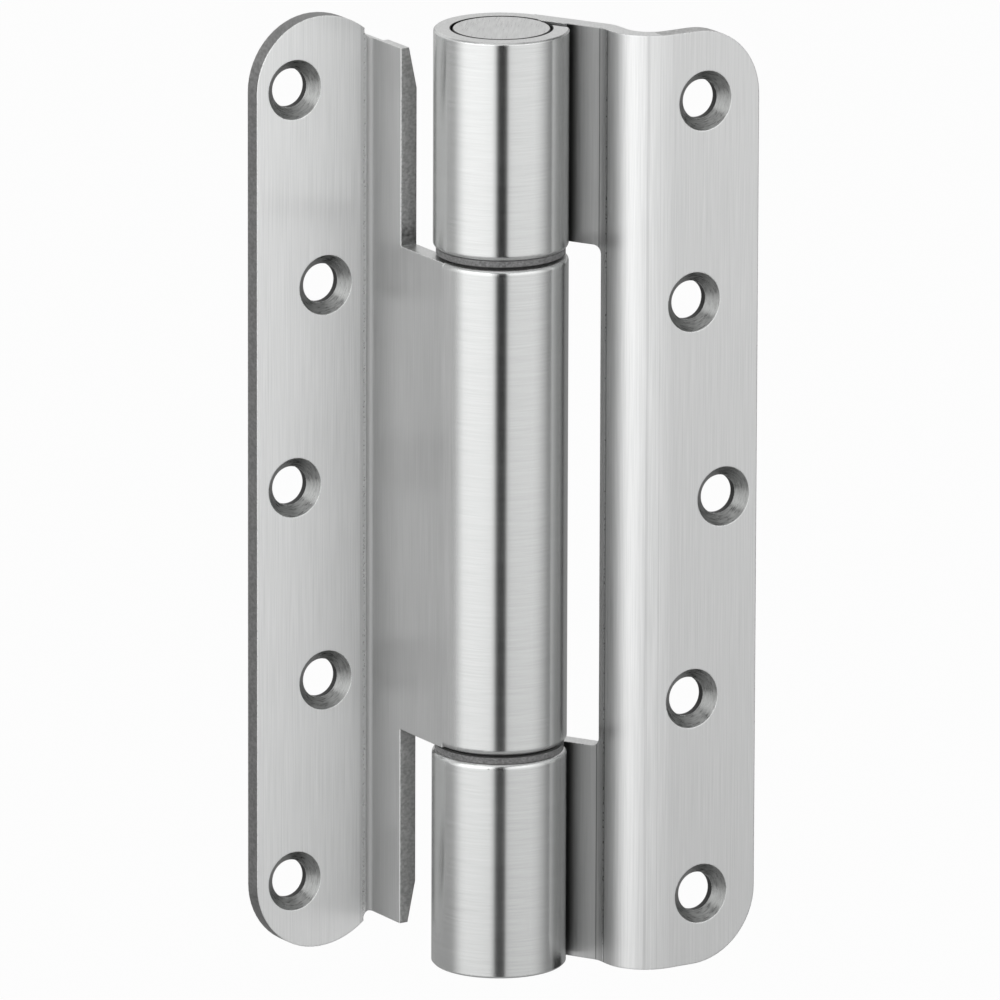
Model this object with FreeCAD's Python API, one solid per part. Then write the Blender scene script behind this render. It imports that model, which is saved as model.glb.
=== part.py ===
import FreeCAD, Part
import math
import os

# Heavy door hinge: two bent sheet leaves rolled into three knuckles round one pin.
# It stands open at 180 degrees, with both countersunk faces towards -Y and +Z up.
# The leaves are drawn about the pin axis, and every piece is moved at export so that
# the origin lies on the back of the frame leaf, at the middle of its outer screw pair.

# ---- overall sizes, mm ----
HINGE_HEIGHT = 160.0
SHEET = 3.0
KNUCKLE_D = 22.5
CLOSED_GAP = 4.0

# ---- knuckles ----
FRAME_KNUCKLE_HEIGHT = 37.0
KNUCKLE_GAP = 1.5
KNUCKLE_BORE_D = 17.0
KNUCKLE_EDGE_CHAMFER = 0.3
KNUCKLE_RUNNING_ROUND = 0.9
ROLL_SLOT = 2.4

# ---- frame leaf ----
FRAME_ARM_TILT = 29.0
FRAME_LEG_X = 14.2
FRAME_FACE_Y = 18.75
FRAME_EDGE_X = 38.5
FRAME_CORNER_R = 12.0
FRAME_CREASE_R = 3.0
FRAME_BEND_R = 4.5
WINDOW_CORNER_R = 1.5
FRAME_OUTER_HOLE_X = 28.0
FRAME_INNER_HOLE_X = 26.0
FRAME_MIDDLE_HOLE_X = 32.0

# ---- door leaf ----
DOOR_EDGE_X = 33.3
DOOR_CORNER_R = 12.0
DOOR_SHOULDER_R = 14.0
DOOR_BEND_R = 1.0
WEB_END_DROP = 4.8
WEB_REACH = 13.2
WEB_BEVEL_WIDTH = 1.5
WEB_BEVEL_HEIGHT = 7.0
RELIEF_R = 1.3
DOOR_OUTER_HOLE_X = 26.0
DOOR_INNER_HOLE_X = 20.0

# ---- screw holes ----
SCREW_HOLE_D = 6.6
COUNTERSINK_D = 10.2
OUTER_ROW_Z = 68.0
INNER_ROW_Z = 34.0

# ---- pin and bearings ----
PIN_D = 12.0
PIN_END_INSET = 8.0
PIN_CHAMFER = 0.8
PRESS_CLEARANCE = 0.02
RUNNING_CLEARANCE = 0.05
FLANGE_THICKNESS = 1.0
FLANGE_INSET = 0.5
WASHER_INSET = 1.4
PLUG_HEIGHT = 5.0
PLUG_LIP_HEIGHT = 1.5
PLUG_LIP_GAP = 0.35
PLUG_CHAMFER = 0.2
BUSH_TO_PLUG = 0.3

# ---- worked out from the sizes above ----
HALF_HEIGHT = HINGE_HEIGHT / 2
KNUCKLE_R = KNUCKLE_D / 2
BORE_R = KNUCKLE_BORE_D / 2
ROLL_INNER_R = KNUCKLE_R - SHEET
DOOR_FACE_Y = FRAME_FACE_Y + CLOSED_GAP
FRAME_KNUCKLE_FOOT = HALF_HEIGHT - FRAME_KNUCKLE_HEIGHT
DOOR_KNUCKLE_TOP = FRAME_KNUCKLE_FOOT - KNUCKLE_GAP
WEB_TOP = HALF_HEIGHT - WEB_END_DROP
FIT_R = BORE_R - PRESS_CLEARANCE
PIN_R = PIN_D / 2
WASHER_THICKNESS = KNUCKLE_GAP - FLANGE_THICKNESS - RUNNING_CLEARANCE
PIN_AXIS = FreeCAD.Vector(-FRAME_OUTER_HOLE_X, FRAME_FACE_Y - SHEET, 0)
ROOM = 60.0

UP = FreeCAD.Vector(0, 0, 1)
BACKWARDS = FreeCAD.Vector(0, 1, 0)


def vec(x, y, z=0.0):
    return FreeCAD.Vector(x, y, z)


def offset_path(points, distance):
    """Return a polyline moved to its left by a distance, with its corners mitred."""
    steps = [(b - a).normalize() for a, b in zip(points, points[1:])]
    lefts = [vec(-step.y, step.x) for step in steps]
    moved = [points[0] + lefts[0] * distance]
    for corner, before, after in zip(points[1:-1], lefts, lefts[1:]):
        mitre = (before + after) * (distance / (1 + before.dot(after)))
        moved.append(corner + mitre)
    moved.append(points[-1] + lefts[-1] * distance)
    return moved


def rounded_path(points, radii):
    """Return the lines and arcs of a polyline whose inner corners have these radii."""
    edges = []
    start = points[0]
    for before, corner, after, radius in zip(points, points[1:], points[2:], radii):
        towards = (corner - before).normalize()
        away = (after - corner).normalize()
        half_turn = math.acos(towards.dot(away)) / 2
        reach = radius * math.tan(half_turn)
        arc_start = corner - towards * reach
        arc_end = corner + away * reach
        bisector = (away - towards).normalize()
        middle = corner + bisector * (radius / math.cos(half_turn) - radius)
        edges.append(Part.makeLine(start, arc_start))
        edges.append(Part.Arc(arc_start, middle, arc_end).toShape())
        start = arc_end
    edges.append(Part.makeLine(start, points[-1]))
    return edges


def bent_sheet(points, radii, left_turns):
    """Return a full-height sheet whose right face follows the points, bends included."""
    left_points = offset_path(points, SHEET)
    right_radii = []
    left_radii = []
    for radius, turns_left in zip(radii, left_turns):
        right_radii.append(radius + SHEET if turns_left else radius)
        left_radii.append(radius if turns_left else radius + SHEET)
    edges = rounded_path(points, right_radii)
    edges += rounded_path(left_points, left_radii)
    edges.append(Part.makeLine(points[0], left_points[0]))
    edges.append(Part.makeLine(points[-1], left_points[-1]))
    outline = Part.Wire(Part.__sortEdges__(edges))
    sheet = Part.Face(outline).extrude(UP * HINGE_HEIGHT)
    sheet.translate(UP * -HALF_HEIGHT)
    return sheet


def turned_box(low, high, tilt):
    """Return a box drawn along X and Y, then turned about the pin axis."""
    box = Part.makeBox(high.x - low.x, high.y - low.y, high.z - low.z, low)
    box.rotate(vec(0, 0), UP, tilt)
    return box


def ring_edges(shape, radius, level):
    """Return the circular edges of one radius that lie at one height."""
    found = []
    for edge in shape.Edges:
        round_edge = isinstance(edge.Curve, Part.Circle)
        if round_edge and abs(edge.Curve.Radius - radius) < 1e-6:
            if abs(edge.Curve.Center.z - level) < 1e-6:
                found.append(edge)
    return found


def knuckle(foot, top):
    """Return a round bar for a knuckle, broken at an outer end and rounded at a running end."""
    bar = Part.makeCylinder(KNUCKLE_R, top - foot, vec(0, 0, foot))
    for level in (foot, top):
        edges = ring_edges(bar, KNUCKLE_R, level)
        if abs(level) < HALF_HEIGHT:
            bar = bar.makeFillet(KNUCKLE_RUNNING_ROUND, edges)
        else:
            bar = bar.makeChamfer(KNUCKLE_EDGE_CHAMFER, edges)
    return bar


def roll_slot(foot, top, tilt):
    """Return the slot between the rolled end of a knuckle and its own sheet."""
    low = vec(ROLL_INNER_R - ROLL_SLOT, -KNUCKLE_R, foot)
    high = vec(ROLL_INNER_R, 0, top)
    return turned_box(low, high, tilt)


def knuckle_bore(foot, top):
    return Part.makeCylinder(BORE_R, top - foot, vec(0, 0, foot))


def countersunk_hole(x, face_y, z):
    """Return the cutter of a screw hole whose countersink opens towards -Y."""
    hole_r = SCREW_HOLE_D / 2
    sink_r = COUNTERSINK_D / 2
    place = vec(x, face_y, z)
    through = Part.makeCylinder(hole_r, SHEET, place, BACKWARDS)
    sink = Part.makeCone(sink_r, hole_r, sink_r - hole_r, place, BACKWARDS)
    return through.fuse(sink)


def corner_cutter(centre_x, centre_z, radius, x_sign, z_sign, face_y):
    """Return what a rounded plate corner loses, through the whole sheet."""
    size = radius + WEB_END_DROP
    x_low = min(centre_x, centre_x + x_sign * size)
    z_low = min(centre_z, centre_z + z_sign * size)
    block = Part.makeBox(size, SHEET * 3, size, vec(x_low, face_y - SHEET, z_low))
    start = vec(centre_x, face_y - SHEET, centre_z)
    return block.cut(Part.makeCylinder(radius, SHEET * 3, start, BACKWARDS))


def make_frame_leaf():
    """Frame leaf: plate, rounded bend, leg and two arms rolled into the end knuckles."""
    tilt = math.radians(FRAME_ARM_TILT)
    normal = vec(math.cos(tilt), math.sin(tilt))
    arm_start = normal * ROLL_INNER_R
    crease_y = (ROLL_INNER_R - normal.x * FRAME_LEG_X) / normal.y
    crease = vec(FRAME_LEG_X, crease_y)
    points = [arm_start, crease, vec(FRAME_LEG_X, -FRAME_FACE_Y), vec(FRAME_EDGE_X, -FRAME_FACE_Y)]
    leaf = bent_sheet(points, [FRAME_CREASE_R, FRAME_BEND_R], [False, True])

    # The window between the arms ends square to the sheet, where the crease begins.
    window_reach = crease.x * normal.y - crease.y * normal.x
    low = vec(-ROOM, -window_reach, -FRAME_KNUCKLE_FOOT)
    high = vec(ROOM, ROOM, FRAME_KNUCKLE_FOOT)
    window = turned_box(low, high, 0)
    corners = []
    for edge in window.Edges:
        middle = edge.BoundBox.Center
        if abs(middle.x) < 1e-6 and abs(middle.y + window_reach) < 1e-6:
            corners.append(edge)
    window = window.makeFillet(WINDOW_CORNER_R, corners)
    window.rotate(vec(0, 0), UP, FRAME_ARM_TILT)
    leaf = leaf.cut(window)

    for foot, top in ((FRAME_KNUCKLE_FOOT, HALF_HEIGHT), (-HALF_HEIGHT, -FRAME_KNUCKLE_FOOT)):
        leaf = leaf.fuse(knuckle(foot, top))
        leaf = leaf.cut(roll_slot(foot, top, FRAME_ARM_TILT))
        leaf = leaf.cut(knuckle_bore(foot, top))

    corner_x = FRAME_EDGE_X - FRAME_CORNER_R
    for side in (1, -1):
        corner_z = side * (HALF_HEIGHT - FRAME_CORNER_R)
        leaf = leaf.cut(corner_cutter(corner_x, corner_z, FRAME_CORNER_R, 1, side, -FRAME_FACE_Y))
        leaf = leaf.cut(countersunk_hole(FRAME_OUTER_HOLE_X, -FRAME_FACE_Y, side * OUTER_ROW_Z))
        leaf = leaf.cut(countersunk_hole(FRAME_INNER_HOLE_X, -FRAME_FACE_Y, side * INNER_ROW_Z))
    leaf = leaf.cut(countersunk_hole(FRAME_MIDDLE_HOLE_X, -FRAME_FACE_Y, 0))
    return leaf.removeSplitter()


def web_bevel(side):
    """Return the long bevel along one end of the web, on the side of the pin."""
    inner_x = -ROLL_INNER_R
    clear = 1.0
    slope = WEB_BEVEL_WIDTH / WEB_BEVEL_HEIGHT
    corners = [
        vec(inner_x - WEB_BEVEL_WIDTH - clear * slope, 0, side * (WEB_TOP + clear)),
        vec(inner_x + clear * slope, 0, side * (WEB_TOP - WEB_BEVEL_HEIGHT - clear)),
        vec(inner_x + WEB_BEVEL_WIDTH, 0, side * (WEB_TOP + clear)),
    ]
    wedge = Part.Face(Part.makePolygon(corners + corners[:1]))
    return wedge.extrude(BACKWARDS * DOOR_FACE_Y)


def make_door_leaf():
    """Door leaf: plate, square bend, and a web whose middle rolls into the centre knuckle."""
    back_y = DOOR_FACE_Y + SHEET
    points = [vec(-ROLL_INNER_R, 0), vec(-ROLL_INNER_R, back_y), vec(-DOOR_EDGE_X, back_y)]
    leaf = bent_sheet(points, [DOOR_BEND_R], [True])

    corner_x = DOOR_CORNER_R - DOOR_EDGE_X
    for side in (1, -1):
        # Past the centre knuckle the web stops short, bevelled on the side of the pin.
        tip_low = min(side * DOOR_KNUCKLE_TOP, side * HALF_HEIGHT)
        tip_height = HALF_HEIGHT - DOOR_KNUCKLE_TOP
        leaf = leaf.cut(Part.makeBox(ROOM, WEB_REACH, tip_height, vec(-ROOM, 0, tip_low)))
        end_low = min(side * WEB_TOP, side * HALF_HEIGHT)
        leaf = leaf.cut(Part.makeBox(ROOM, DOOR_FACE_Y, WEB_END_DROP, vec(-ROOM, 0, end_low)))
        leaf = leaf.cut(web_bevel(side))

        # The plate's end is a small arc outside and a larger one down to the bend.
        corner_z = side * (HALF_HEIGHT - DOOR_CORNER_R)
        shoulder_z = side * (HALF_HEIGHT - DOOR_SHOULDER_R)
        leaf = leaf.cut(corner_cutter(corner_x, corner_z, DOOR_CORNER_R, -1, side, DOOR_FACE_Y))
        leaf = leaf.cut(corner_cutter(corner_x, shoulder_z, DOOR_SHOULDER_R, 1, side, DOOR_FACE_Y))

        # A round notch parts the plate's end from the web's end, so that the bend is free.
        relief = vec(-KNUCKLE_R, DOOR_FACE_Y - SHEET, side * (WEB_TOP + RELIEF_R))
        leaf = leaf.cut(Part.makeCylinder(RELIEF_R, SHEET * 3, relief, BACKWARDS))
        leaf = leaf.cut(Part.makeBox(KNUCKLE_R, back_y, WEB_END_DROP, vec(-KNUCKLE_R, 0, end_low)))

        leaf = leaf.cut(countersunk_hole(-DOOR_OUTER_HOLE_X, DOOR_FACE_Y, side * OUTER_ROW_Z))
        leaf = leaf.cut(countersunk_hole(-DOOR_INNER_HOLE_X, DOOR_FACE_Y, side * INNER_ROW_Z))
    leaf = leaf.cut(countersunk_hole(-DOOR_OUTER_HOLE_X, DOOR_FACE_Y, 0))

    leaf = leaf.fuse(knuckle(-DOOR_KNUCKLE_TOP, DOOR_KNUCKLE_TOP))
    leaf = leaf.cut(roll_slot(-DOOR_KNUCKLE_TOP, DOOR_KNUCKLE_TOP, 180))
    leaf = leaf.cut(knuckle_bore(-DOOR_KNUCKLE_TOP, DOOR_KNUCKLE_TOP))
    return leaf.removeSplitter()


def make_pin():
    """Pin: one plain bar through the sleeve and both bushes."""
    half_length = HALF_HEIGHT - PIN_END_INSET
    bar = Part.makeCylinder(PIN_R, half_length * 2, vec(0, 0, -half_length))
    edges = ring_edges(bar, PIN_R, half_length) + ring_edges(bar, PIN_R, -half_length)
    return bar.makeChamfer(PIN_CHAMFER, edges)


def tube(outer_r, inner_r, foot, top):
    outside = Part.makeCylinder(outer_r, top - foot, vec(0, 0, foot))
    return outside.cut(Part.makeCylinder(inner_r, top - foot, vec(0, 0, foot)))


def make_pin_sleeve():
    """Sleeve pressed into the centre knuckle; it grips the pin."""
    return tube(FIT_R, PIN_R + PRESS_CLEARANCE, -DOOR_KNUCKLE_TOP, DOOR_KNUCKLE_TOP)


def make_bush():
    """Upper bearing bush: pressed into its knuckle, with the flange that carries the load."""
    bush_top = HALF_HEIGHT - PLUG_HEIGHT - BUSH_TO_PLUG
    flange_foot = FRAME_KNUCKLE_FOOT - FLANGE_THICKNESS
    flange_r = KNUCKLE_R - FLANGE_INSET
    bush = Part.makeCylinder(FIT_R, bush_top - flange_foot, vec(0, 0, flange_foot))
    bush = bush.fuse(Part.makeCylinder(flange_r, FLANGE_THICKNESS, vec(0, 0, flange_foot)))
    bore_r = PIN_R + RUNNING_CLEARANCE
    bore = Part.makeCylinder(bore_r, bush_top - flange_foot, vec(0, 0, flange_foot))
    return bush.cut(bore).removeSplitter()


def make_washer():
    """Upper thrust washer: lies on the centre knuckle, under the bush's flange."""
    top = DOOR_KNUCKLE_TOP + WASHER_THICKNESS
    return tube(KNUCKLE_R - WASHER_INSET, PIN_R + PRESS_CLEARANCE, DOOR_KNUCKLE_TOP, top)


def make_plug():
    """Upper end plug: closes the knuckle flush, with a narrow gap round its lip."""
    foot = HALF_HEIGHT - PLUG_HEIGHT
    lip_foot = HALF_HEIGHT - PLUG_LIP_HEIGHT
    lip_r = BORE_R - PLUG_LIP_GAP
    lip = Part.makeCylinder(lip_r, PLUG_LIP_HEIGHT, vec(0, 0, lip_foot))
    lip = lip.makeChamfer(PLUG_CHAMFER, ring_edges(lip, lip_r, HALF_HEIGHT))
    body = Part.makeCylinder(FIT_R, lip_foot - foot, vec(0, 0, foot))
    return body.fuse(lip).removeSplitter()


def upside_down(shape):
    """Return the same piece turned over for the hinge's lower end."""
    return shape.rotated(vec(0, 0), vec(1, 0), 180)


def make_all():
    pieces = {
        "frame_leaf": make_frame_leaf(),
        "door_leaf": make_door_leaf(),
        "hinge_pin": make_pin(),
        "pin_sleeve": make_pin_sleeve(),
    }
    paired = {"bearing_bush": make_bush, "thrust_washer": make_washer, "end_plug": make_plug}
    for name, make in paired.items():
        pieces["upper_" + name] = make()
        pieces["lower_" + name] = upside_down(make())
    return pieces


os.makedirs("parts", exist_ok=True)
for node, piece in make_all().items():
    piece.translate(PIN_AXIS)
    piece.exportStep("parts/" + node + ".step")
    print(node, "solids", len(piece.Solids), "valid", piece.isValid(), "mm3", round(piece.Volume, 1))
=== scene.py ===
"""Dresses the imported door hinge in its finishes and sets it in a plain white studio."""

import logging
import math
from dataclasses import dataclass
from enum import Enum
from typing import Any

import bmesh
import bpy
from mathutils import Matrix, Vector


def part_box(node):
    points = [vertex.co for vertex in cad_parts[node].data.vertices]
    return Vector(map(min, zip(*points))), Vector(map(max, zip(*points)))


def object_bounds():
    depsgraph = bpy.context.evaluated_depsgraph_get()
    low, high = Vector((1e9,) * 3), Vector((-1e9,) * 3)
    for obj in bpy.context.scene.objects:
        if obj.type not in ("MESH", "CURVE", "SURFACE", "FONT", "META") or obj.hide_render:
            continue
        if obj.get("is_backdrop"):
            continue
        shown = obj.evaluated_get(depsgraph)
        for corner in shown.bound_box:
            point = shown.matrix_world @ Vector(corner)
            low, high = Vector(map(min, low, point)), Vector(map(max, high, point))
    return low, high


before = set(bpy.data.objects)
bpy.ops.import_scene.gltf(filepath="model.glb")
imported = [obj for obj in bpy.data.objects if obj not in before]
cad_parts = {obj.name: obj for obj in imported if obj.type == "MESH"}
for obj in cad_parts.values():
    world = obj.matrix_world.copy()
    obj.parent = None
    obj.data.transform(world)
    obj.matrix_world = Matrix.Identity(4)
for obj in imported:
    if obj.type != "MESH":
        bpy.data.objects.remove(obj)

LOG = logging.getLogger("door_hinge")
MM = 0.001
EVEN = 0.5                       # the middle of every noise
COLOUR_SWING = 0.2               # how far the grain lightens and darkens a colour
COLOUR_GAIN = 4.0                # grain contrast to the swing of the colour
ROUGH_GAIN = 0.5                 # grain contrast to the change of roughness
CLOUD = (0.05, 0.05, 0.03)       # cells per millimetre of the slow clouds over a face
CLOUD_COLOUR = 0.24
CLOUD_ROUGH = 0.08
FINE_SHARE = 0.85                # share of fine lines in the grain
BROAD_SHARE = 0.15               # and of broad ones
GROUND_TURN = math.radians(35)   # slant of the grain on ground faces
EDGE_ROUND = 0.25                # radius of the rounded edges, in millimetres
EDGE_START = 0.985               # leaning of the rounded normal where an edge starts to show
EDGE_FULL = 0.9                  # and where it shows fully
# Share of the burnished finish taken both by worn edges and by the painted highlights.
WEAR_AND_GLINT_SHARE = 0.8                  # how much of the burnished finish the edges take
SKIN = 0.05                      # depth under a face that still counts as the face, in millimetres
SIDE_ON = 0.35                   # lean of a normal under which a wall runs along that axis
WHITE = (1.0, 1.0, 1.0, 1.0)
BLACK = (0.0, 0.0, 0.0, 1.0)
Colour = tuple[float, float, float]


class Grain(Enum):
    """Which way the abrasive belt ran over a face."""

    ALONG_PIN = "along_pin"
    ROUND_PIN = "round_pin"
    GROUND = "ground"
    TURNED = "turned"


@dataclass(frozen=True)
class SteelFinish:
    """One finish of bare stainless steel.

    Args:
        colour: Base colour of the metal.
        roughness: Mean roughness.
        pitch: Grain lines per millimetre across the grain.
        stretch: Grain cells per millimetre along the grain.
        contrast: Change of colour between grain lines.
        depth: Height of the grain, in millimetres.
        spread: How far the grain stretches reflections, from 0 to 1.
        turn: Anisotropic rotation of the grain, in turns.
    """

    colour: Colour
    roughness: float
    pitch: float
    stretch: float
    contrast: float
    depth: float
    spread: float = 0.0
    turn: float = 0.0


@dataclass(frozen=True)
class PolymerFinish:
    """The dark polymer of the bearing bushes.

    Args:
        colour: Mean grey of the base colour.
        roughness: Mean roughness.
        fleck: Size of the filler's flecks, per millimetre.
    """

    colour: float
    roughness: float
    fleck: float


BELT_PLATE = SteelFinish(
    colour=(0.85, 0.862, 0.856),
    roughness=0.4,
    pitch=4.0,
    stretch=0.07,
    contrast=0.24,
    depth=0.0015,
    spread=0.88,
)
BELT_KNUCKLE = SteelFinish(
    colour=(0.585, 0.592, 0.588),
    roughness=0.24,
    pitch=5.0,
    stretch=0.11,
    contrast=0.15,
    depth=0.0001,
    spread=0.88,
    turn=0.25,
)
SHEARED_EDGE = SteelFinish(
    colour=(0.46, 0.46, 0.457),
    roughness=0.42,
    pitch=2.2,
    stretch=0.7,
    contrast=0.9,
    depth=0.03,
)
GROUND_END = SteelFinish(
    colour=(0.68, 0.685, 0.68),
    roughness=0.36,
    pitch=3.0,
    stretch=0.8,
    contrast=0.3,
    depth=0.006,
)
GROUND_DISC = SteelFinish(
    colour=(0.66, 0.665, 0.66),
    roughness=0.3,
    pitch=3.0,
    stretch=0.25,
    contrast=0.4,
    depth=0.004,
    spread=0.4,
    turn=0.1,
)
# Its dark colour is painted shade in the countersinks' hollows, laid over their turned rings.
SHADED_TURNED_SINK = SteelFinish(
    colour=(0.27, 0.274, 0.27),
    roughness=0.33,
    pitch=6.0,
    stretch=0.8,
    contrast=1.0,
    depth=0.008,
)
# Worn, burnished edges, which also carry the painted highlights along the arms' crease and in the
# door leaf's corner.
BURNISH_AND_GLINT = SteelFinish(
    colour=(0.8, 0.81, 0.805),
    roughness=0.3,
    pitch=2.5,
    stretch=0.8,
    contrast=0.5,
    depth=0.0,
)
# Near-black painted shade, put on the walls of the screw holes and bores and on the rims of the
# washers and end plugs.
PAINTED_SHADE_WALL = SteelFinish(
    colour=(0.06, 0.06, 0.06),
    roughness=0.5,
    pitch=4.0,
    stretch=0.6,
    contrast=0.6,
    depth=0.01,
)
DRAWN_PIN = SteelFinish(
    colour=(0.5, 0.5, 0.5),
    roughness=0.25,
    pitch=8.0,
    stretch=0.2,
    contrast=0.1,
    depth=0.002,
    spread=0.5,
)
BRIGHT_WASHER = SteelFinish(
    colour=(0.7, 0.7, 0.69),
    roughness=0.24,
    pitch=9.0,
    stretch=0.2,
    contrast=0.1,
    depth=0.002,
    spread=0.4,
)
BEARING_POLYMER = PolymerFinish(colour=0.1, roughness=0.42, fleck=3.0)


class Shade:
    """A value socket, or a number, with Python arithmetic that adds Math nodes."""

    def __init__(self, sheet: "MaterialSheet", source: Any) -> None:
        """Keep the sheet to draw on and the socket or number.

        Args:
            sheet: The material being drawn.
            source: An output socket or a plain number.
        """
        self.sheet = sheet
        self.source = source

    def _math(self, operation: str, *others: Any) -> "Shade":
        """Add one Math node.

        Args:
            operation: Name of the Math operation.
            *others: The other operands, as Shade or numbers.

        Returns:
            The node's result.
        """
        sockets = dict(enumerate((self.source, *others)))
        made = self.sheet.node("ShaderNodeMath", {"operation": operation}, sockets)
        return Shade(self.sheet, made.outputs[0])

    def __add__(self, other: Any) -> "Shade":
        """Sum of two values."""
        return self._math("ADD", other)

    __radd__ = __add__

    def __sub__(self, other: Any) -> "Shade":
        """Difference of two values."""
        return self._math("SUBTRACT", other)

    def __rsub__(self, other: Any) -> "Shade":
        """Difference from a number."""
        return Shade(self.sheet, other)._math("SUBTRACT", self)

    def __mul__(self, other: Any) -> "Shade":
        """Product of two values."""
        return self._math("MULTIPLY", other)

    __rmul__ = __mul__

    def __abs__(self) -> "Shade":
        """Size of a value."""
        return self._math("ABSOLUTE")

    def __gt__(self, other: Any) -> "Shade":
        """1 where the value is above the other, else 0."""
        return self._math("GREATER_THAN", other)

    def __lt__(self, other: Any) -> "Shade":
        """1 where the value is below the other, else 0."""
        return self._math("LESS_THAN", other)

    def root(self) -> "Shade":
        """Square root of a value."""
        return self._math("SQRT")

    def near(self, centre: float, half: float) -> "Shade":
        """1 within half a width of a value, else 0."""
        return abs(self - centre) < half

    def either(self, other: Any) -> "Shade":
        """The larger of two masks."""
        return self._math("MAXIMUM", other)


class MaterialSheet:
    """One material and its node tree, read in millimetres from the pin."""

    def __init__(self, name: str, pin: Vector | None = None, owner: Any = None) -> None:
        """Start an empty node tree.

        Args:
            name: Name of the material.
            pin: A point on the pin axis, in metres, where the material has a grain.
            owner: What the tree belongs to, a new material where nothing is given.
        """
        self.material = owner or bpy.data.materials.new(name)
        self.material.use_nodes = True
        self.tree = self.material.node_tree
        self.tree.nodes.clear()
        places = self.node("ShaderNodeTexCoord").outputs
        self.place = places["Object"]
        self.facing = places["Normal"]
        if pin is not None:
            scale = 1 / MM
            centre = {"Vector": self.place, "Scale": (scale,) * 3, "Location": tuple(-pin * scale)}
            self.point = self.node("ShaderNodeMapping", {}, centre).outputs[0]
            self.soften()

    @classmethod
    def of_world(cls, world: bpy.types.World) -> "MaterialSheet":
        """The sheet of a world's node tree."""
        return cls(world.name, owner=world)

    def node(
        self, kind: str, settings: dict | None = None, sockets: dict | None = None
    ) -> bpy.types.Node:
        """Add one node.

        Args:
            kind: The node's type.
            settings: Properties that are set first; "stops" holds a ramp's stops.
            sockets: Values or links of its inputs, by name or number.

        Returns:
            The new node.
        """
        made = self.tree.nodes.new(kind)
        for key, value in (settings or {}).items():
            if key == "stops":
                for stop, (place, grey) in zip(made.color_ramp.elements, value):
                    stop.position = place
                    stop.color = (grey, grey, grey, 1)
            else:
                setattr(made, key, value)
        for key, value in (sockets or {}).items():
            socket = made.inputs[key]
            if isinstance(value, Shade):
                value = value.source
            if isinstance(value, bpy.types.NodeSocket):
                self.tree.links.new(value, socket)
            else:
                socket.default_value = value
        return made

    def parts(self, vector: bpy.types.NodeSocket) -> list[Shade]:
        """Split a vector.

        Args:
            vector: The vector's socket.

        Returns:
            Its X, Y and Z.
        """
        split = self.node("ShaderNodeSeparateXYZ", {}, {0: vector})
        return [Shade(self, output) for output in split.outputs]

    def fade(self, value: Shade, start: float, end: float) -> Shade:
        """Ease from 0 to 1 as a value goes from start to end.

        Args:
            value: The value.
            start: Where the result is 0.
            end: Where the result is 1.

        Returns:
            The eased value.
        """
        sockets = {"Value": value, "From Min": start, "From Max": end}
        made = self.node("ShaderNodeMapRange", {"interpolation_type": "SMOOTHSTEP"}, sockets)
        return Shade(self, made.outputs[0])

    def noise(self, stretch: tuple[float, float, float], detail: float, turn: float = 0.0) -> Shade:
        """Stretched noise about the pin.

        Args:
            stretch: Cells per millimetre along X, Y and Z.
            detail: Octaves of the noise.
            turn: Turn about Z before stretching, in radians.

        Returns:
            The noise, near 0.5.
        """
        about_z = {"Vector": self.point, "Rotation": (0, 0, turn)}
        turned = self.node("ShaderNodeMapping", {}, about_z)
        sockets = {"Vector": turned.outputs[0], "Scale": stretch}
        scaled = self.node("ShaderNodeMapping", {}, sockets)
        sockets = {"Vector": scaled.outputs[0], "Scale": 1.0, "Detail": detail}
        made = self.node("ShaderNodeTexNoise", {}, sockets)
        return Shade(self, made.outputs[0])

    def grain(self, finish: SteelFinish, grain: Grain) -> Shade:
        """Lines that the belt left.

        Args:
            finish: The finish, for its pitch and stretch.
            grain: The way the lines run.

        Returns:
            The lines, near 0.5.
        """
        across, along = finish.pitch, finish.stretch
        if grain is Grain.ALONG_PIN:
            fine = self.noise((across, across, along), 2.0)
            broad = self.noise((across / 5, across / 5, along / 5), 2.0)
        elif grain is Grain.ROUND_PIN:
            fine = self.noise((along, along, across), 2.0)
            broad = self.noise((along / 2, along / 2, across / 5), 2.0)
        elif grain is Grain.TURNED:
            fine = self.noise((along, across, along), 1.0)
            broad = self.noise((along, across / 6, along), 2.0)
        else:
            fine = self.noise((across, along, across), 3.0, GROUND_TURN)
            broad = self.noise((across / 4, along / 4, across / 4), 2.0, GROUND_TURN)
        return fine * FINE_SHARE + broad * BROAD_SHARE

    def soften(self) -> None:
        """Round the normals at every edge, and mark the edges."""
        bevel = self.node("ShaderNodeBevel", {"samples": 4}, {"Radius": EDGE_ROUND * MM})
        flat = self.node("ShaderNodeNewGeometry").outputs["Normal"]
        self.soft = bevel.outputs[0]
        both = {0: self.soft, 1: flat}
        leaning = self.node("ShaderNodeVectorMath", {"operation": "DOT_PRODUCT"}, both)
        self.edges = self.fade(Shade(self, leaning.outputs["Value"]), EDGE_START, EDGE_FULL)

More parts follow.
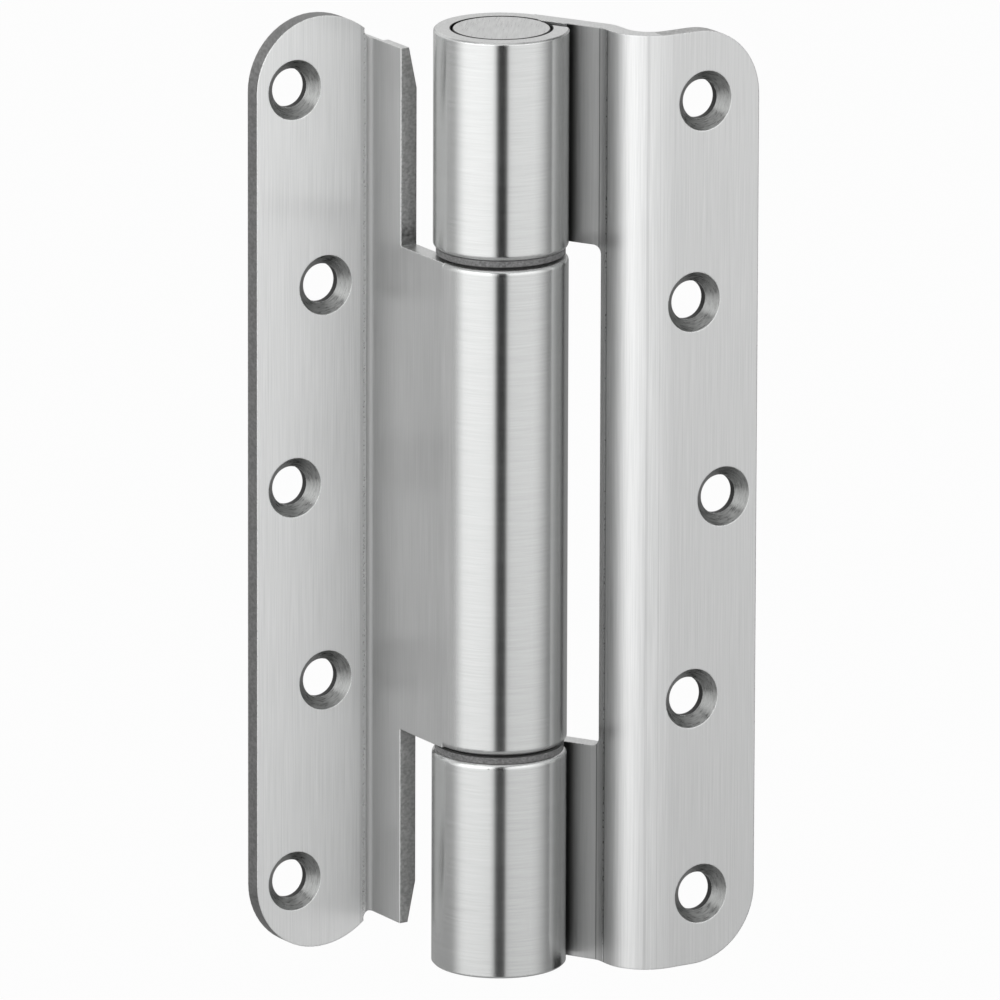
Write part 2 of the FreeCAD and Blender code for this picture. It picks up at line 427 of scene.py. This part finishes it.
    def steel(
        self, finish: SteelFinish, grain: Grain, tone: Shade | None = None
    ) -> bpy.types.NodeSocket:
        """Shader of one steel finish.

        Args:
            finish: The finish.
            grain: The way its lines run.
            tone: Painted shade and painted highlights, as how bright the metal is kept, from 0 to
                1, where it varies.

        Returns:
            The shader's output.
        """
        lines = self.grain(finish, grain)
        cloud = self.noise(CLOUD, 2.0)
        swing = (lines - EVEN) * (finish.contrast * COLOUR_GAIN) + (cloud - EVEN) * CLOUD_COLOUR
        darkest = self.dim(finish.colour, 1 - COLOUR_SWING)
        lightest = self.dim(finish.colour, 1 + COLOUR_SWING)
        colour = self.mix(swing + EVEN, darkest, lightest)
        # Painted shade and painted highlights: the tone darkens the colour towards black.
        if tone is not None:
            colour = self.mix(tone, BLACK, colour)
        rough = (lines - EVEN) * (finish.contrast * ROUGH_GAIN) + (cloud - EVEN) * CLOUD_ROUGH
        rough = rough + finish.roughness
        height = {"Height": lines, "Distance": finish.depth * MM, "Normal": self.soft}
        normal = self.node("ShaderNodeBump", {}, {"Strength": 1.0, **height})
        sockets = {
            "Base Color": colour,
            "Metallic": 1.0,
            "Roughness": rough,
            "Anisotropic": finish.spread,
            "Anisotropic Rotation": finish.turn,
            "Normal": normal.outputs[0],
        }
        return self.node("ShaderNodeBsdfPrincipled", {}, sockets).outputs[0]

    def mix(self, share: Shade, first: Any, second: Any) -> bpy.types.NodeSocket:
        """Mix two colours.

        Args:
            share: 0 for the first colour, 1 for the second.
            first: A colour or its socket.
            second: A colour or its socket.

        Returns:
            The mixed colour's socket.
        """
        # Inputs 0, 6 and 7 of a colour Mix are its factor, A and B, and output 2 is its colour.
        sockets = {0: share, 6: first, 7: second}
        return self.node("ShaderNodeMix", {"data_type": "RGBA"}, sockets).outputs[2]

    @staticmethod
    def dim(colour: Colour, by: float) -> tuple[float, float, float, float]:
        """A colour made darker or lighter, with its alpha."""
        return tuple(min(part * by, 1.0) for part in colour) + (1.0,)

    def blend(
        self, mask: Shade, below: bpy.types.NodeSocket, above: bpy.types.NodeSocket
    ) -> bpy.types.NodeSocket:
        """Mix two shaders.

        Args:
            mask: 1 where the second shader shows.
            below: Shader where the mask is 0.
            above: Shader where the mask is 1.

        Returns:
            The mixed shader.
        """
        return self.node("ShaderNodeMixShader", {}, {0: mask, 1: below, 2: above}).outputs[0]

    def done(self, shader: bpy.types.NodeSocket) -> bpy.types.Material:
        """Finish the material.

        Args:
            shader: The shader that it shows.

        Returns:
            The material.
        """
        self.node("ShaderNodeOutputMaterial", {}, {0: shader})
        return self.material


@dataclass(frozen=True)
class Line:
    """A straight line that a tool or the press left along a leaf.

    Args:
        at: Its place across the face, from the pin, in millimetres.
        half: Half its width, in millimetres.
        strength: How much it darkens or brightens the steel, from 0 to 1.
    """

    at: float
    half: float
    strength: float

    def on(self, across: Shade) -> Shade:
        """Its strength where it runs, else 0."""
        return across.near(self.at, self.half) * self.strength


@dataclass
class Leaf:
    """A bent sheet leaf: brushed plate, brushed knuckles, sheared edges and countersinks.

    Sizes are in millimetres, and places are counted from the pin.

    Args:
        pin: A point on the pin axis, in metres.
        node: The leaf's CAD node.
        plate_side: 1 where the plate lies at +X of the pin, -1 at -X.
        face_y: Front face of the plate.
        plate_from: Where the flat plate starts, along X.
        rim_from: Past the last screw hole, along X.
        hole_top: Height that holds every screw hole.
        knuckle_r: Outer radius of the knuckles.
        bore_r: Radius of the knuckles' bores.
        sheet: Thickness of the sheet.
    """

    pin: Vector
    node: str = ""
    plate_side: int = 1
    face_y: float = 0.0
    plate_from: float = 0.0
    rim_from: float = 0.0
    hole_top: float = 74.0
    knuckle_r: float = 11.25
    bore_r: float = 8.5
    sheet: float = 3.0

    def rolled(self, sheet: MaterialSheet) -> Shade:
        """Mask of the knuckles, whose belt lines run round the pin.

        Args:
            sheet: The material being drawn.

        Returns:
            The mask.
        """
        x, y, _ = sheet.parts(sheet.point)
        return (x * x + y * y).root() < self.knuckle_r + 0.06

    def tone(self, sheet: MaterialSheet) -> Shade:
        """Painted shade and painted highlights on the belt-brushed faces, as a tone from 0 to 1.

        Args:
            sheet: The material being drawn.

        Returns:
            The tone.
        """
        raise NotImplementedError

    def painted_glint(self, sheet: MaterialSheet) -> Shade:
        """Mask of the painted highlight beside the bend.

        Args:
            sheet: The material being drawn.

        Returns:
            The mask.
        """
        raise NotImplementedError

    def cut_walls(self, sheet: MaterialSheet) -> Shade:
        """Mask of the walls through the plate: its rims and its screw holes.

        Args:
            sheet: The material being drawn.

        Returns:
            The mask.
        """
        x, y, _ = sheet.parts(sheet.point)
        _, facing_y, _ = sheet.parts(sheet.facing)
        plate = (y > self.face_y + SKIN) * (y < self.face_y + self.sheet - SKIN)
        beyond = (x * self.plate_side) > self.plate_from
        return plate * beyond * (abs(facing_y) < SIDE_ON)

    def sheared(self, sheet: MaterialSheet) -> Shade:
        """Mask of the sheared edges of the sheet.

        Args:
            sheet: The material being drawn.

        Returns:
            The mask.
        """
        return self.cut_walls(sheet)

    def painted_shade_walls(self, sheet: MaterialSheet) -> Shade:
        """Mask of the straight walls of the screw holes and of the knuckles' bores, which take
        near-black painted shade.

        Args:
            sheet: The material being drawn.

        Returns:
            The mask.
        """
        x, y, z = sheet.parts(sheet.point)
        _, _, facing_z = sheet.parts(sheet.facing)
        among = ((x * self.plate_side) < self.rim_from) * (abs(z) < self.hole_top)
        holes = self.cut_walls(sheet) * among
        radius = (x * x + y * y).root()
        bores = (radius < self.bore_r + SKIN) * (abs(facing_z) < 0.5)
        return holes.either(bores).either(radius < self.bore_r + 0.1)

    def sunk(self, sheet: MaterialSheet) -> Shade:
        """Mask of the countersinks' cones, which take painted shade.

        Args:
            sheet: The material being drawn.

        Returns:
            The mask.
        """
        x, y, _ = sheet.parts(sheet.point)
        _, facing_y, _ = sheet.parts(sheet.facing)
        plate = (y > self.face_y + 0.02) * ((x * self.plate_side) > self.plate_from)
        cone = (abs(facing_y) > 0.6) * (abs(facing_y) < 0.8)
        return plate * cone

    def edge_tone(self, sheet: MaterialSheet) -> Shade | None:
        """Painted shade on the sheared edges, where there is any."""
        return None

    def dress(self) -> None:
        """Give the leaf its finishes where the real sheet has them, with painted shade and painted
        highlights laid over them in its tone, countersinks, holes, crease and corner.
        """
        sheet = MaterialSheet(self.node + "_steel", self.pin)
        _, _, facing_z = sheet.parts(sheet.facing)
        # Worn edges and the painted highlights take the burnished finish; the countersinks, holes
        # and bores take painted shade.
        wear_and_glint = sheet.edges.either(self.painted_glint(sheet)) * WEAR_AND_GLINT_SHARE
        layers = (
            (self.rolled(sheet), sheet.steel(BELT_KNUCKLE, Grain.ROUND_PIN)),
            (self.sunk(sheet), sheet.steel(SHADED_TURNED_SINK, Grain.TURNED)),
            (abs(facing_z) > 0.8, sheet.steel(GROUND_END, Grain.GROUND)),
            (self.sheared(sheet), sheet.steel(SHEARED_EDGE, Grain.GROUND, self.edge_tone(sheet))),
            (wear_and_glint, sheet.steel(BURNISH_AND_GLINT, Grain.GROUND)),
            (self.painted_shade_walls(sheet), sheet.steel(PAINTED_SHADE_WALL, Grain.GROUND)),
        )
        shader = sheet.steel(BELT_PLATE, Grain.ALONG_PIN, self.tone(sheet))
        for mask, steel in layers:
            shader = sheet.blend(mask, shader, steel)
        put_on(self.node, sheet.done(shader))


@dataclass
class FrameLeaf(Leaf):
    """The leaf for the door frame, whose two arms end in the upper and lower knuckles.

    Args:
        arm_shade: How much painted shade darkens the inner faces of the arms.
        arm_ends: Across Y, where that shade is full and where the bend has left it.
        crevice_tone: Tone that painted shade leaves in the crevice between the arms and the
            knuckles.
        crevice: Across Y, where that tone is full and where the arm has left it.
        plate_shade: How much painted shade darkens the flat plate, which leaves the bend lighter as
            a painted highlight.
        plate_fade: Across X, where the plate's shade starts and is full.
        crease_shade_lines: Dark lines of painted shade along the crease of the arms.
        crease_glint: A painted highlight beside them.
    """

    node: str = "frame_leaf"
    plate_side: int = 1
    face_y: float = -18.75
    plate_from: float = 19.8
    rim_from: float = 36.5
    arm_shade: float = 0.47
    arm_ends: tuple[float, float] = (-11.8, -16.0)
    crevice_tone: float = 0.15
    crevice: tuple[float, float] = (-3.4, -4.8)
    plate_shade: float = 0.15
    plate_fade: tuple[float, float] = (18.0, 20.5)
    crease_shade_lines: tuple[Line, Line] = (Line(-8.25, 0.09, 0.55), Line(-10.3, 0.09, 0.55))
    crease_glint: Line = Line(-10.05, 0.16, 0.8)

    def tone(self, sheet: MaterialSheet) -> Shade:
        """Painted shade on the plate, the bend and the arms, as a tone from 0 to 1.

        Args:
            sheet: The material being drawn.

        Returns:
            The tone.
        """
        x, y, _ = sheet.parts(sheet.point)
        facing_x, _, _ = sheet.parts(sheet.facing)
        inside = facing_x < -0.3
        # Painted shade on the arms' inner faces, fading out towards the bend.
        arm = 1 - inside * (1 - sheet.fade(y, *self.arm_ends)) * self.arm_shade
        # Painted shade in the crevice between the arms and the knuckles.
        clear = sheet.fade(y, *self.crevice) * (1 - self.crevice_tone) + self.crevice_tone
        # Dark lines of painted shade along the arms' crease.
        crease_shade = self.crease_shade_lines[0].on(y).either(self.crease_shade_lines[1].on(y))
        # Thin dark lines across the bend: one where it meets the plate, and a painted reflection of
        # a dark flag at 17.65 mm.
        start = Line(19.5, 0.06, 0.12).on(x) * (y < -18.0)
        line = start + Line(17.65, 0.2, 0.1).on(x) * (y < -16.5)
        # Painted shade on the flat plate, which leaves the bend lighter as a painted highlight.
        plate = 1 - sheet.fade(x, *self.plate_fade) * self.plate_shade
        return arm * plate * (1 - inside * (1 - clear)) * (1 - inside * crease_shade) * (1 - line)

    def painted_glint(self, sheet: MaterialSheet) -> Shade:
        """Mask of the painted highlight along the arms' crease.

        Args:
            sheet: The material being drawn.

        Returns:
            The mask.
        """
        x, y, _ = sheet.parts(sheet.point)
        facing_x, _, _ = sheet.parts(sheet.facing)
        return self.crease_glint.on(y) * (facing_x < -0.3) * (x > 12.0)


@dataclass
class DoorLeaf(Leaf):
    """The leaf for the door, whose web ends in the centre knuckle.

    Args:
        web_reach: Where the web's tips end, across Y.
        web_fade: Across X, where the plate ends and the web starts.
        web_tone: Tone that painted shade leaves on the web beside the plate.
        web_gain: How much the web's painted shade lifts towards the knuckle.
        web_depth: Across Y, where the web starts to lighten and where it is lightest.
        outer_rim: Where the plate's outer rim starts, along -X.
        outer_rim_shade: How much painted shade darkens that rim, against the web's tips.
        corner: A painted highlight in the corner of plate and web.
        corner_shade_line: A dark line of painted shade beside it.
        tip_glint: A painted highlight along the web's tips.
    """

    node: str = "door_leaf"
    plate_side: int = -1
    face_y: float = 22.75
    plate_from: float = 13.6
    rim_from: float = 31.0
    web_reach: float = 13.2
    web_fade: tuple[float, float] = (-12.25, -12.05)
    web_tone: float = 0.48
    web_gain: float = 0.14
    web_depth: tuple[float, float] = (21.8, 12.0)
    outer_rim: float = 13.5
    outer_rim_shade: float = 0.5
    corner: Line = Line(-12.5, 0.22, 1.0)
    corner_shade_line: Line = Line(-12.98, 0.3, 0.14)
    tip_glint: Line = Line(13.3, 0.12, 0.5)

    def rolled(self, sheet: MaterialSheet) -> Shade:
        """Mask of the knuckle, which fades into the web.

        Args:
            sheet: The material being drawn.

        Returns:
            The mask.
        """
        x, y, _ = sheet.parts(sheet.point)
        turned_away = sheet.fade(y * -1, 0.5, 5.0).either(sheet.fade(x, -10.0, -8.5))
        return super().rolled(sheet) * turned_away

    def on_face(self, y: Shade) -> Shade:
        """Mask of the plate's front face."""
        return (y > self.face_y - 3 * SKIN) * (y < self.face_y + 3 * SKIN)

    def tone(self, sheet: MaterialSheet) -> Shade:
        """Painted shade on the web and beside the corner, and a painted highlight along the web's
        tips, as a tone from 0 to 1.

        Args:
            sheet: The material being drawn.

        Returns:
            The tone.
        """
        x, y, z = sheet.parts(sheet.point)
        facing_x, _, _ = sheet.parts(sheet.facing)
        # Painted shade on the web: full on its faces that do not face +X, a quarter on the face
        # that does.
        web = sheet.fade(x, *self.web_fade) * ((facing_x < 0.3) * 0.75 + 0.25)
        # The web's painted shade lifts from the plate's corner towards the knuckle.
        depth = sheet.fade(y, *self.web_depth) * self.web_gain + self.web_tone
        # A dark line of painted shade beside the corner.
        corner_shade = self.corner_shade_line.on(x) * self.on_face(y)
        # A painted highlight along the web's tips.
        glint = self.tip_glint.on(y) * (abs(z) > 41.6) * web
        return (1 - web * (1 - depth) + glint) * (1 - corner_shade)

    def painted_glint(self, sheet: MaterialSheet) -> Shade:
        """Mask of the painted highlight in the corner.

        Args:
            sheet: The material being drawn.

        Returns:
            The mask.
        """
        x, y, _ = sheet.parts(sheet.point)
        return self.corner.on(x) * self.on_face(y)

    def sheared(self, sheet: MaterialSheet) -> Shade:
        """Mask of the sheared rims of the plate and of the web's tips.

        Args:
            sheet: The material being drawn.

        Returns:
            The mask.
        """
        x, y, _ = sheet.parts(sheet.point)
        _, facing_y, _ = sheet.parts(sheet.facing)
        web = x < -self.knuckle_r + self.sheet - 0.02
        tips = y.near(self.web_reach, 0.06) * web * (facing_y < -0.9)
        return super().sheared(sheet).either(tips)

    def edge_tone(self, sheet: MaterialSheet) -> Shade:
        """Painted shade on the sheared edges: darker on the outer rim."""
        x, _, _ = sheet.parts(sheet.point)
        return 1 - (x < -self.outer_rim) * self.outer_rim_shade


@dataclass
class PinAndBearings:
    """The pin, its sleeve, the bushes, the washers and the end plugs.

    Args:
        pin: A point on the pin axis, in metres.
        washer_face: Radius of the washers' polished face, past which painted shade darkens their
            rim, in millimetres.
        plug_face: Radius of the end plugs' ground face, past which painted shade darkens their rim,
            in millimetres.
        ends: Which end of the hinge each piece is at.
    """

    pin: Vector
    washer_face: float = 9.6
    plug_face: float = 7.97
    ends: tuple[str, str] = ("upper", "lower")

    def dress(self) -> None:
        """Give each round piece its finish."""
        for node, finish in (("hinge_pin", DRAWN_PIN), ("pin_sleeve", DRAWN_PIN)):
            self.turned(node, finish, Grain.ROUND_PIN)
        for end in self.ends:
            washer, plug = end + "_thrust_washer", end + "_end_plug"
            self.turned(washer, BRIGHT_WASHER, Grain.ROUND_PIN, self.washer_face)
            self.turned(plug, GROUND_DISC, Grain.GROUND, self.plug_face)
            self.polymer(end + "_bearing_bush", BEARING_POLYMER)

    def turned(
        self, node: str, finish: SteelFinish, grain: Grain, shade_from: float | None = None
    ) -> None:
        """Dress one steel piece.

        Args:
            node: Its CAD node.
            finish: Its finish.
            grain: The way its lines run.
            shade_from: Radius past which painted shade darkens its rim, in millimetres.
        """
        sheet = MaterialSheet(node + "_steel", self.pin)
        x, y, _ = sheet.parts(sheet.point)
        shader = sheet.steel(finish, grain)
        # Painted shade: the rim past the given radius is made near black.
        if shade_from is not None:
            shaded_rim = (x * x + y * y).root() > shade_from
            shader = sheet.blend(shaded_rim, shader, sheet.steel(PAINTED_SHADE_WALL, Grain.GROUND))
        put_on(node, sheet.done(shader))

    def polymer(self, node: str, finish: PolymerFinish) -> None:
        """Dress one polymer piece.

        Args:
            node: Its CAD node.
            finish: Its finish.
        """
        sheet = MaterialSheet(node + "_polymer", self.pin)
        fleck = sheet.noise((finish.fleck,) * 3, 3.0)
        dark, light = (0.35, finish.colour * 0.7), (0.75, finish.colour * 2.2)
        ramp = sheet.node("ShaderNodeValToRGB", {"stops": (dark, light)}, {0: fleck})
        height = {"Height": fleck, "Distance": 0.01 * MM}
        bump = sheet.node("ShaderNodeBump", {}, height)
        rough = fleck * 0.2 + finish.roughness - 0.1
        sockets = {
            "Base Color": ramp.outputs[0],
            "Roughness": rough,
            "Normal": bump.outputs[0],
        }
        surface = sheet.node("ShaderNodeBsdfPrincipled", {}, sockets).outputs[0]
        put_on(node, sheet.done(surface))


@dataclass(frozen=True)
class Card:
    """A tall card that stands round the hinge: a softbox where it glows, a flag where it is dark.

    Args:
        name: Name of the card.
        turn: Where its middle stands, in degrees to the camera's right.
        width: Degrees that it covers.
        glow: Its radiance, where 1 is white.
        fade_in: Share of its left half that fades out.
        fade_out: Share of its right half that fades out.
        away: Distance from the pin, in metres.
        foot: Its lower edge from the pin's middle, in metres.
        height: Its height, in metres.
    """

    name: str
    turn: float
    width: float
    glow: float
    fade_in: float
    fade_out: float
    away: float = 0.7
    foot: float = -0.37
    height: float = 1.1


CARDS = (
    Card("key_softbox", turn=-47, width=86, glow=1.95, fade_in=0.75, fade_out=0.33),
    Card("fill_softbox", turn=49, width=92, glow=1.5, fade_in=0.4, fade_out=0.9),
    Card("left_wall", turn=-118, width=116, glow=0.79, fade_in=0.25, fade_out=0.25, away=0.8),
    Card(
        "back_wall", turn=180, width=80, glow=0.9, fade_in=0.3, fade_out=0.3,
        away=0.95, foot=0.12, height=0.8,
    ),
    Card("camera_flag", turn=2.0, width=21, glow=0.0, fade_in=0.4, fade_out=0.4, away=0.6),
    Card("right_flag", turn=122, width=34, glow=0.0, fade_in=0.3, fade_out=0.3, away=0.6),
)
CARD_SLOPE = 0.85                # how much more a card glows at its head than at its foot


@dataclass
class Studio:
    """White room, cards, the lamp and the camera.

    Args:
        pin: The middle of the pin.
        azimuth: Turn of the camera about the pin, in degrees.
        elevation: Height of the camera, in degrees.
        distance: Distance of the camera, in metres.
        lens: Its focal length, in millimetres.
        roll: Its turn about its own axis, in degrees.
        aim_drop: How far below the pin's middle the camera aims, in metres.
        floor_drop: Depth of the floor below the hinge, in metres.
        floor_grey: Colour of the floor's paper.
        floor_shown: How white the camera sees the floor, above its paper.
        room_light: Radiance of the even light of the room.
    """

    pin: Vector
    azimuth: float = -32.0
    elevation: float = 14.9
    distance: float = 3.0
    lens: float = 651.0
    roll: float = 0.18
    aim_drop: float = 0.0005
    floor_drop: float = 0.30
    floor_grey: float = 0.45
    floor_shown: float = 0.97
    room_light: float = 0.58

    def bearing(self, turn: float, rise: float = 0.0) -> Vector:
        """Direction from the pin, counted from the camera's own.

        Args:
            turn: Degrees to the camera's right.
            rise: Degrees above the horizon.

        Returns:
            A unit vector.
        """
        heading = math.radians(self.azimuth + turn)
        height = math.radians(rise)
        level = math.cos(height)
        return Vector((math.sin(heading) * level, -math.cos(heading) * level, math.sin(height)))

    def make_camera(self) -> None:
        """Aim a long lens at the pin."""
        target = self.pin - Vector((0, 0, self.aim_drop))
        camera = bpy.data.objects.new("camera", bpy.data.cameras.new("camera"))
        camera.data.lens = self.lens
        camera.data.clip_end = 20.0
        camera.location = target + self.bearing(0.0, self.elevation) * self.distance
        aim = (target - camera.location).to_track_quat("-Z", "Y").to_matrix()
        roll = Matrix.Rotation(math.radians(self.roll), 3, "Z")
        camera.rotation_euler = (aim @ roll).to_euler()
        bpy.context.collection.objects.link(camera)
        bpy.context.scene.camera = camera

    def make_world(self) -> None:
        """Light the room evenly and show white to the camera."""
        world = bpy.data.worlds.new("room")
        world.use_nodes = True
        sheet = MaterialSheet.of_world(world)
        path = sheet.node("ShaderNodeLightPath").outputs
        dim = {"Color": WHITE, "Strength": self.room_light}
        room = sheet.node("ShaderNodeBackground", {}, dim)
        seen = sheet.node("ShaderNodeBackground", {}, {"Color": WHITE, "Strength": 1.0})
        mixed = sheet.blend(Shade(sheet, path["Is Camera Ray"]), room.outputs[0], seen.outputs[0])
        sheet.node("ShaderNodeOutputWorld", {}, {0: mixed})
        bpy.context.scene.world = world

    def make_floor(self, lowest: float) -> None:
        """Lay a wide white floor below the hinge.

        Args:
            lowest: The hinge's lowest point.
        """
        shape = bmesh.new()
        bmesh.ops.create_grid(shape, x_segments=1, y_segments=1, size=9.0)
        bmesh.ops.translate(shape, verts=shape.verts, vec=(0, 0, lowest - self.floor_drop))
        floor = mesh_object("floor", shape)
        sheet = MaterialSheet("white_floor")
        grey = (self.floor_grey,) * 3 + (1.0,)
        paper = sheet.node("ShaderNodeBsdfDiffuse", {}, {"Color": grey}).outputs[0]
        glow = sheet.node("ShaderNodeEmission", {}, {"Color": WHITE, "Strength": 1.0}).outputs[0]
        seen = Shade(sheet, sheet.node("ShaderNodeLightPath").outputs["Is Camera Ray"])
        shader = sheet.blend(seen * self.floor_shown, paper, glow)
        floor.data.materials.append(sheet.done(shader))
        floor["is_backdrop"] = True

    def hang_lamp(
        self, name: str, turn: float, rise: float, away: float, size: float, glow: float
    ) -> None:
        """Hang one soft square lamp that faces the pin.

        Args:
            name: Name of the lamp.
            turn: Degrees to the camera's right.
            rise: Degrees above the horizon.
            away: Distance from the pin.
            size: Its side.
            glow: Its radiance, where 1 is white.
        """
        light = bpy.data.lights.new(name, "AREA")
        light.shape = "SQUARE"
        light.size = size
        light.energy = glow * 4 * size * size
        lamp = bpy.data.objects.new(name, light)
        lamp.location = self.pin + self.bearing(turn, rise) * away
        lamp.rotation_euler = (self.pin - lamp.location).to_track_quat("-Z", "Y").to_euler()
        lamp.visible_camera = False
        bpy.context.collection.objects.link(lamp)
        LOG.info("%s hangs %.0f degrees up", name, rise)

    def stand_card(self, card: Card) -> None:
        """Stand one card up, which only the object sees.

        Args:
            card: The card.
        """
        wide = 2 * card.away * math.tan(math.radians(card.width) / 2)
        shape = bmesh.new()
        bmesh.ops.create_grid(shape, x_segments=1, y_segments=1, size=0.5)
        bmesh.ops.scale(shape, verts=shape.verts, vec=(wide, card.height, 1))
        board = mesh_object(card.name, shape)
        middle = self.pin + self.bearing(card.turn) * card.away
        middle.z += card.foot + card.height / 2
        facing = Matrix.Rotation(math.radians(self.azimuth + card.turn), 4, "Z")
        upright = Matrix.Rotation(math.radians(90), 4, "X")
        board.matrix_world = Matrix.Translation(middle) @ facing @ upright
        sheet = MaterialSheet(card.name + "_card")
        x, y, _ = sheet.parts(sheet.place)
        shown = sheet.fade(x, -wide / 2, (card.fade_in - 1) * wide / 2)
        shown = shown * sheet.fade(x, wide / 2, (1 - card.fade_out) * wide / 2)
        clear = sheet.node("ShaderNodeBsdfTransparent").outputs[0]
        level = (y * (CARD_SLOPE / card.height) + 1.0) * card.glow
        glow = sheet.node("ShaderNodeEmission", {}, {"Color": WHITE, "Strength": level}).outputs[0]
        board.data.materials.append(sheet.done(sheet.blend(shown, clear, glow)))
        board.visible_camera = False
        board.visible_shadow = False
        board.visible_diffuse = card.glow > 0
        board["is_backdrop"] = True
        LOG.info("%s stands %.0f degrees to the right", card.name, card.turn)


def mesh_object(name: str, shape: bmesh.types.BMesh) -> bpy.types.Object:
    """Make an object of a bmesh.

    Args:
        name: Name of the object.
        shape: The bmesh, which is freed.

    Returns:
        The new object.
    """
    mesh = bpy.data.meshes.new(name)
    shape.to_mesh(mesh)
    shape.free()
    made = bpy.data.objects.new(name, mesh)
    bpy.context.collection.objects.link(made)
    return made


def put_on(node: str, material: bpy.types.Material) -> None:
    """Dress a CAD node.

    Args:
        node: The node's name.
        material: Its material.
    """
    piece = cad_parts[node]
    if not piece.material_slots:
        piece.data.materials.append(material)
    for slot in piece.material_slots:
        slot.material = material
    LOG.info("%s wears %s", node, material.name)


def corners() -> list[list[float]]:
    """The shown object's lowest and highest corners, as plain lists."""
    return [list(corner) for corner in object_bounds()]


def main() -> None:
    """Dress the hinge and set the studio."""
    logging.basicConfig(level=logging.INFO, format="%(message)s")
    packed = corners()
    scene = bpy.context.scene
    scene.view_settings.view_transform = "Standard"

    low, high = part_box("hinge_pin")
    pin = (Vector(low) + Vector(high)) / 2
    FrameLeaf(pin).dress()
    DoorLeaf(pin).dress()
    PinAndBearings(pin).dress()

    studio = Studio(pin)
    studio.make_camera()
    studio.make_world()
    studio.make_floor(packed[0][2])
    studio.hang_lamp("top_lamp", turn=-20, rise=70, away=1.1, size=0.8, glow=0.35)
    for card in CARDS:
        studio.stand_card(card)


if __name__ == "__main__":
    main()
